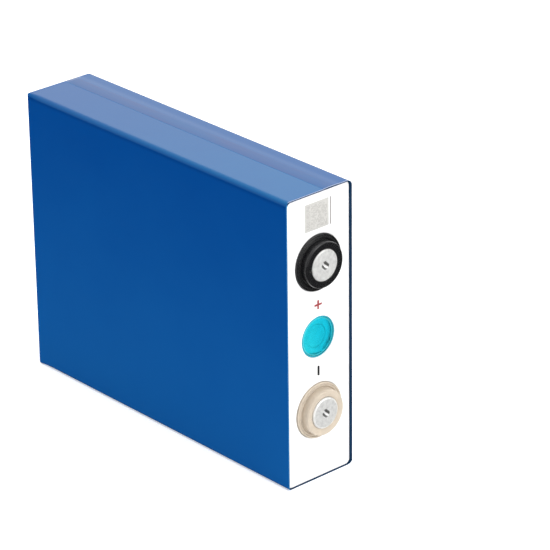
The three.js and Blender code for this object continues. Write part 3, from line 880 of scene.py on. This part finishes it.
def film_sleeve():
    """The film as one closed shell: end face, outside, lip and inside."""
    rings = far_end_rings() + outer_rings() + cut_edge_rings() + inner_rings()
    vertices, faces = stitched(rings)
    count = len(rings[0])
    faces.append(list(range(count))[::-1])
    faces.append(list(range(len(vertices) - count, len(vertices))))
    made = new_piece("film_sleeve", vertices, faces, "blue_film", FILM_SMOOTH_TO)
    # The strips by the cut edge get paler blues as painted highlights.
    side_edge_highlight = film_edge_highlight("film_edge_highlight", (0.025, 0.24, 0.52))
    top_edge_highlight = film_edge_highlight("film_top_edge", (0.21, 0.27, 0.43))
    # The inner faces and top cut edge take a painted navy shade.
    for extra in (lap_band(), side_edge_highlight, film_inside_shade(), top_edge_highlight):
        made.data.materials.append(extra)
    for face in made.data.polygons:
        face.material_index = film_face_material(face.center, face.normal)
    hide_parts("film_wrap")


def film_end_folds():
    """The front flap is folded last and lies highest."""
    front_tip, back_tip = 4 * MM, 4.4 * MM
    end_flap("film_fold_back", 1, back_tip, FOLD_THICKNESS / 2)
    end_flap("film_fold_front", -1, front_tip, FOLD_THICKNESS)


def end_flap(name, side, tip_y, thickness):
    """A flap folded flat over the far end from one side, its ends cut back at 45 degrees."""
    root_y = side * (FILM_HIGH.y - FOLD_SET_BACK)
    root = HALF_Z - FOLD_SET_BACK
    tip = root - abs(tip_y - root_y)
    outline = [
        (root_y, MIDDLE_Z - root),
        (tip_y, MIDDLE_Z - tip),
        (tip_y, MIDDLE_Z + tip),
        (root_y, MIDDLE_Z + root),
    ]
    prism(name, outline, END_FACE - thickness, END_FACE, "blue_film", edge=0.04 * MM)


# ---- The lid's face ----------------------------------------------------------------


def rounded_outline(low, high, corner, steps):
    """Points (y, z) round the box from low to high, with rounded corners."""
    centre, half = (low + high) / 2, (high - low) / 2
    y, z = half.y - corner, half.z - corner
    points = arc(centre.y - y, centre.z - z, corner, 180, 270, steps)
    points += arc(centre.y + y, centre.z - z, corner, 270, 360, steps)
    points += arc(centre.y + y, centre.z + z, corner, 0, 90, steps)
    points += arc(centre.y - y, centre.z + z, corner, 90, 180, steps)
    return points


def hole(centre, radius, steps=96):
    """Points (y, z) round a whole circle."""
    return arc(centre.y, centre.z, radius, 0, 360 - 360 / steps, steps - 1)


def insulating_sheet():
    """The white board, with a hole round each terminal and one round the vent."""
    outline = rounded_outline(SHEET_LOW, SHEET_HIGH, 2 * MM, 12)
    terminal_gap, vent_gap = 0.15 * MM, 0.17 * MM
    holes = [hole(place, GASKET_RADIUS + terminal_gap) for place in (POSITIVE, NEGATIVE)]
    holes.append(hole(VENT, VENT_COVER_RADIUS + vent_gap))
    made = prism(
        "insulating_sheet", outline, SHEET_LOW.x, SHEET_HIGH.x, "white_sheet", 0.08 * MM, holes
    )
    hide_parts("top_insulation_sheet")


def printed_mark(name, node, outline, slot_name):
    """A printed sign, as thick as its CAD node."""
    low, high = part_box(node)
    made = prism(name, outline, low.x, high.x, slot_name, 0.03 * MM)
    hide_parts(node)


def plus_outline(low, high, half_stroke):
    """A plus whose arm ends are slightly rounded, as printed ink is."""
    centre = (low + high) / 2
    reach = (high.y - low.y) / 2
    inner_corner = (half_stroke, half_stroke)
    arm = [(reach, -half_stroke), (reach * 1.03, 0), (reach, half_stroke), inner_corner]
    points = []
    for quarter in range(4):
        turn = Matrix.Rotation(math.pi / 2 * quarter, 2)
        for y, z in arm:
            spot = turn @ Vector((y, z))
            points.append((centre.y + spot.x, centre.z + spot.y))
    return points


def polarity_marks():
    plus = plus_outline(*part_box("plus_mark"), 0.45 * MM)
    printed_mark("plus_print", "plus_mark", plus, "red_ink")
    minus = rounded_outline(*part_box("minus_mark"), 0.2 * MM, 4)
    printed_mark("minus_print", "minus_mark", minus, "black_ink")


def code_label():
    """A pale label with a blank mosaic where a code would be, and a thin printed bar."""
    low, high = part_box("code_label")
    bar_width = 0.6 * MM
    bar_gap = 0.75 * MM
    margin = Vector((0, 0.9, 0.9)) * MM
    face = low.x + 0.05 * MM
    paper_high = Vector((face, high.y - bar_width - bar_gap, high.z))
    outline = rounded_outline(low, paper_high, 0.25 * MM, 4)
    paper = prism("label_paper", outline, low.x, face, "label_stock", 0.015 * MM)
    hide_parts("code_label")
    mosaic(face, low + margin, paper_high - margin)
    bar_low = Vector((low.x, high.y - bar_width, low.z))
    bar = rounded_outline(bar_low, high, 0.1 * MM, 3)
    prism("label_bar", bar, low.x, face, "label_stock", finish=FINISHES["bar_ink"])


def mosaic(base, low, high):
    """Faint square modules in no particular order, joined into one piece."""
    cells = 18
    light_column = 3
    blank_share = 0.05
    cover = 0.84  # width of a module in its cell
    thickness = 0.02 * MM
    lift = 0.001 * MM
    work = bmesh.new()
    step = (high - low) / cells
    size = Matrix.Diagonal((thickness, step.y * cover, step.z * cover, 1))
    for row in range(cells):
        for column in range(cells):
            blank = noise.noise(Vector((row * 3.7, column * 5.1, 9.3))) < blank_share
            if blank or column == light_column:
                continue
            y = low.y + (column + 0.5) * step.y
            z = low.z + (row + 0.5) * step.z
            spot = Matrix.Translation((base + lift + thickness / 2, y, z))
            bmesh.ops.create_cube(work, size=1, matrix=spot @ size)
    made = placed_mesh("label_mosaic", work)
    finish_piece(made, "label_stock", finish=FINISHES["label_ink"])


# ---- Terminals, in millimetres -----------------------------------------------------


def over_lip(x):
    """Height above the film's lip in millimetres."""
    return (x - LIP) / MM


def from_axis(face, centre):
    """Distance of a face's middle from the axis through the centre, in millimetres."""
    return math.hypot(face.center.y - centre.y, face.center.z - centre.z) / MM


def gasket(name, node, centre, lip_radius, slot_name):
    """The moulded ring round a terminal: a grooved flange and a collar that holds the pad."""
    lid = over_lip(LID_FACE)
    rim = GASKET_RADIUS / MM - 0.1
    rim_top, flange, groove, neck = -0.72, -0.6, -0.95, -1.1
    bore, seat, mouth = 4.3, 9.15, 7
    seat_low, seat_high = -0.8, 1.5
    corners = [
        (bore, lid, 0), (rim, lid, 0.15), (rim, rim_top, 0.25),
        (rim - 0.3, flange, 0.1), (rim - 0.65, flange, 0.1),
        (rim - 0.8, groove, 0.08), (rim - 1.05, groove, 0.08),
        (rim - 1.2, -0.66, 0.1), (rim - 1.6, -0.66, 0.15),
        (rim - 1.8, neck, 0.2), (9.9, neck, 0.1),
        (10.1, 2.1, 0.3), (9.8, 2.9, 0.35), (9.1, 2.86, 0.4),
        (lip_radius, 2.8, 0.25), (mouth, 2.3, 0.15), (mouth, seat_high, 0),
        (seat, seat_high, 0), (seat, seat_low, 0), (bore, seat_low, 0),
    ]
    made = turned_piece(name, corners, centre, slot_name, 192)
    key_notch(made, centre)
    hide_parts(node)


def key_notch(made, centre):
    """Cuts the small moulding notch at the mouth of the ring, on the front side."""
    half = Vector((0.6, 0.75, 0.5)) * MM
    offset = Vector((2.9, -7.6, -0.3)) * MM
    work = bmesh.new()
    spot = Matrix.Translation(Vector((LIP, centre.y, centre.z)) + offset)
    bmesh.ops.create_cube(work, size=2, matrix=spot @ Matrix.Diagonal((*half, 1)))
    sides = [edge for edge in work.edges if abs(edge.verts[0].co.x - edge.verts[1].co.x) > half.x]
    bmesh.ops.bevel(work, geom=sides, offset=0.3 * MM, segments=4, affect="EDGES")
    cutter = placed_mesh("notch_cutter", work)
    cut = made.modifiers.new("notch", "BOOLEAN")
    cut.operation = "DIFFERENCE"
    cut.solver = "EXACT"
    cut.object = cutter
    apply_modifiers(made)
    bpy.data.objects.remove(cutter)
    made.data.set_sharp_from_angle(angle=SMOOTH_TO)


def terminal_pad(name, node, centre, edge_finish=None):
    """A stepped pad with a bevelled rim round its face and a drilled cone in the middle."""
    low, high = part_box(node)
    top, base = over_lip(high.x), over_lip(low.x)
    flange, bore, boss = PAD_BASE_RADIUS / MM, 4.15, 6.85
    flange_top, bore_top = 1.4, 0.8
    face_radius, cone_radius, cone_depth = 6.15, 2.05, 1.1
    corners = [
        (0, bore_top, 0), (bore, bore_top, 0), (bore, base, 0), (flange, base, 0),
        (flange, flange_top, 0), (boss, flange_top, 0), (boss, top - 0.35, 0.1),
        (face_radius, top, 0.1), (cone_radius, top, 0.08),
        (0.55, top - cone_depth + 0.05, 0.2), (0, top - cone_depth, 0),
    ]
    finish = turned_metal(name + "_face", centre)
    made = turned_piece(name, corners, centre, "terminal_aluminium", finish=finish)
    made.data.materials.append(drilled_metal(name + "_cone", centre))
    # edge_finish, when given, colours the bevelled rim; for the negative pad it is a painted
    # highlight.
    made.data.materials.append(edge_finish or finish)
    for face in made.data.polygons:
        if over_lip(face.center.x) < top - cone_depth - 0.2:
            continue
        out = from_axis(face, centre)
        if out < cone_radius:
            face.material_index = 1
        elif out > face_radius + 0.05:
            face.material_index = 2
    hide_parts(node)


# ---- Safety vent, in millimetres ---------------------------------------------------


def vent_cover():
    """Protective film: stuck flat at its rim and pressed down a little over the bore."""
    low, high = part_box("vent_cover_film")
    bottom, top = over_lip(low.x), over_lip(high.x)
    rim = VENT_COVER_RADIUS / MM
    dish = 0.12
    corners = [
        (0, bottom - dish, 0), (7.2, bottom - dish, 0.5), (8.0, bottom, 0.3),
        (rim, bottom, 0), (rim, top, 0.08), (8.1, top, 0.4),
        (7.3, top - dish, 0.5), (6.4, top - dish * 0.9, 0.3), (0, top - dish, 0),
    ]
    made = turned_piece("vent_cover", corners, VENT, "teal_film", body="cover")
    made.data.materials.append(teal_rim())
    for face in made.data.polygons:
        if from_axis(face, VENT) > rim - 0.55:
            face.material_index = 1
    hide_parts("vent_cover_film")


def vent_membrane():
    """The thin petal with a shallow ring pressed in, and the rim that holds it."""
    low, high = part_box("vent_petal")
    bottom, top = over_lip(low.x), over_lip(high.x)
    rim_top = over_lip(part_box("vent_rim")[1].x)
    petal_radius, rim_radius, rim_bore = 5, 7.9, 5.12
    petal = [
        (0, bottom, 0), (petal_radius, bottom, 0.08), (petal_radius, top, 0.1),
        (3.6, top, 0.2), (3.4, top - 0.08, 0.1), (3.2, top, 0.2), (0, top, 0),
    ]
    made = turned_piece("membrane_petal", petal, VENT, "aluminium", 128, body="petal")
    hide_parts("vent_petal")
    rim = [
        (rim_bore, bottom, 0.02), (rim_radius, bottom, 0), (rim_radius, rim_top, 0.1),
        (6.2, rim_top, 0.15), (rim_bore, top, 0.02),
    ]
    made = turned_piece("membrane_rim", rim, VENT, "aluminium", 128)
    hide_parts("vent_rim")


# ---- Pieces that keep their CAD shape ----------------------------------------------


def dress_frame():
    """Gives every CAD node that still shows its finish."""
    slots = {entry["node"]: entry["material_slot"] for entry in frame["record"]["subparts"]}
    for name, node in frame["nodes"].items():
        if node.hide_render:
            continue
        node.data.materials.clear()
        node.data.materials.append(FINISHES[slots[name]])


# ---- Floor, light and camera -------------------------------------------------------


def floor():
    """A matt white table that reflections leave out."""
    half = FLOOR_HALF
    mesh = bpy.data.meshes.new("studio_floor")
    corners = [(-half, -half, 0), (half, -half, 0), (half, half, 0), (-half, half, 0)]
    mesh.from_pydata(corners, [], [(0, 1, 2, 3)])
    made = placed("studio_floor", mesh)
    made.location.z = -FLOOR_DROP
    paint = Finish("studio_floor", (0.93, 0.93, 0.93), 0.9)
    paint.set("Specular IOR Level", 0.0)
    paint.set("Emission Color", (1, 1, 1, 1))
    paint.set("Emission Strength", FLOOR_GLOW)
    made.data.materials.append(paint.material)
    made.visible_glossy = False


def softbox(name, place, side, power):
    """A square light with the given side in metres and power in watts, turned to the cell."""
    light = bpy.data.lights.new(name, "AREA")
    light.size = side
    light.energy = power
    made = placed(name, light)
    made.location = place
    made.rotation_euler = (FILM_CENTRE - Vector(place)).to_track_quat("-Z", "Y").to_euler()


def surroundings():
    """White studio walls whose strength depends on the direction only.

    They are bright overhead and behind, dark below the table and dimmer in front of the
    wide side, with a dark card to the right rear as a neighbouring cell would be.
    """
    world = bpy.data.worlds.new("studio")
    world.use_nodes = True
    bpy.context.scene.world = world
    tree = world.node_tree
    background = tree.nodes["Background"]
    background.inputs["Color"].default_value = (1, 1, 1, 1)
    direction = tree.nodes.new("ShaderNodeTexCoord").outputs["Generated"]

    def towards(axis, low, high, to_low, to_high):
        """Fades from one value to another as the direction turns towards the axis."""
        dot = tree.nodes.new("ShaderNodeVectorMath")
        dot.operation = "DOT_PRODUCT"
        dot.inputs[1].default_value = Vector(axis).normalized()
        tree.links.new(direction, dot.inputs[0])
        fade = tree.nodes.new("ShaderNodeMapRange")
        fade.interpolation_type = "SMOOTHSTEP"
        limits = {"From Min": low, "From Max": high, "To Min": to_low, "To Max": to_high}
        for socket, value in limits.items():
            fade.inputs[socket].default_value = value
        tree.links.new(dot.outputs["Value"], fade.inputs["Value"])
        return fade.outputs["Result"]

    strength = towards((0, 0, 1), -0.02, 0.10, DARK_BELOW, SKY_STRENGTH)
    for factor in (
        towards((0, -1, 0), 0.0, 0.9, 1.0, FRONT_SHARE),
        towards(CARD_DIRECTION, 0.72, 0.92, 1.0, CARD_SHARE),
    ):
        product = tree.nodes.new("ShaderNodeMath")
        product.operation = "MULTIPLY"
        tree.links.new(strength, product.inputs[0])
        tree.links.new(factor, product.inputs[1])
        strength = product.outputs["Value"]
    tree.links.new(strength, background.inputs["Strength"])


def camera():
    azimuth, elevation, roll = map(math.radians, (CAMERA_AZIMUTH, CAMERA_ELEVATION, CAMERA_ROLL))
    flat = math.cos(elevation)
    back = Vector((math.sin(azimuth) * flat, -math.cos(azimuth) * flat, math.sin(elevation)))
    level = Vector((math.cos(azimuth), math.sin(azimuth), 0))
    upright = back.cross(level)
    right = level * math.cos(roll) + upright * math.sin(roll)
    up = upright * math.cos(roll) - level * math.sin(roll)
    data = bpy.data.cameras.new("camera")
    data.lens = CAMERA_LENS
    data.clip_end = 20
    made = placed("camera", data)
    place = FILM_CENTRE + right * CAMERA_AIM_RIGHT + up * CAMERA_AIM_UP
    place += back * CAMERA_DISTANCE
    made.matrix_world = Matrix.Translation(place) @ Matrix((right, up, back)).transposed().to_4x4()
    bpy.context.scene.camera = made


def lighting():
    bpy.context.scene.view_settings.view_transform = "Standard"
    softbox("terminal_light", (1.2, 0.35, 0.9), side=0.7, power=7)
    softbox("overhead_light", (0.0, 0.0, 1.5), side=0.9, power=4)


# ---- Putting it together -----------------------------------------------------------

camera()
surroundings()
lighting()
floor()
film_sleeve()
film_end_folds()
insulating_sheet()
polarity_marks()
code_label()
gasket("black_gasket", "positive_gasket", POSITIVE, 7.1, "black_plastic")
gasket("beige_gasket", "negative_gasket", NEGATIVE, 8.2, "beige_plastic")
terminal_pad("positive_pad", "positive_terminal_pad", POSITIVE)
# The negative pad's bevelled rim is painted lighter as a highlight.
rim_highlight_finish = turned_metal("negative_pad_rim_highlight", NEGATIVE, (0.84, 0.84, 0.82))
terminal_pad("negative_pad", "negative_terminal_pad", NEGATIVE, rim_highlight_finish)
vent_cover()
vent_membrane()
dress_frame()
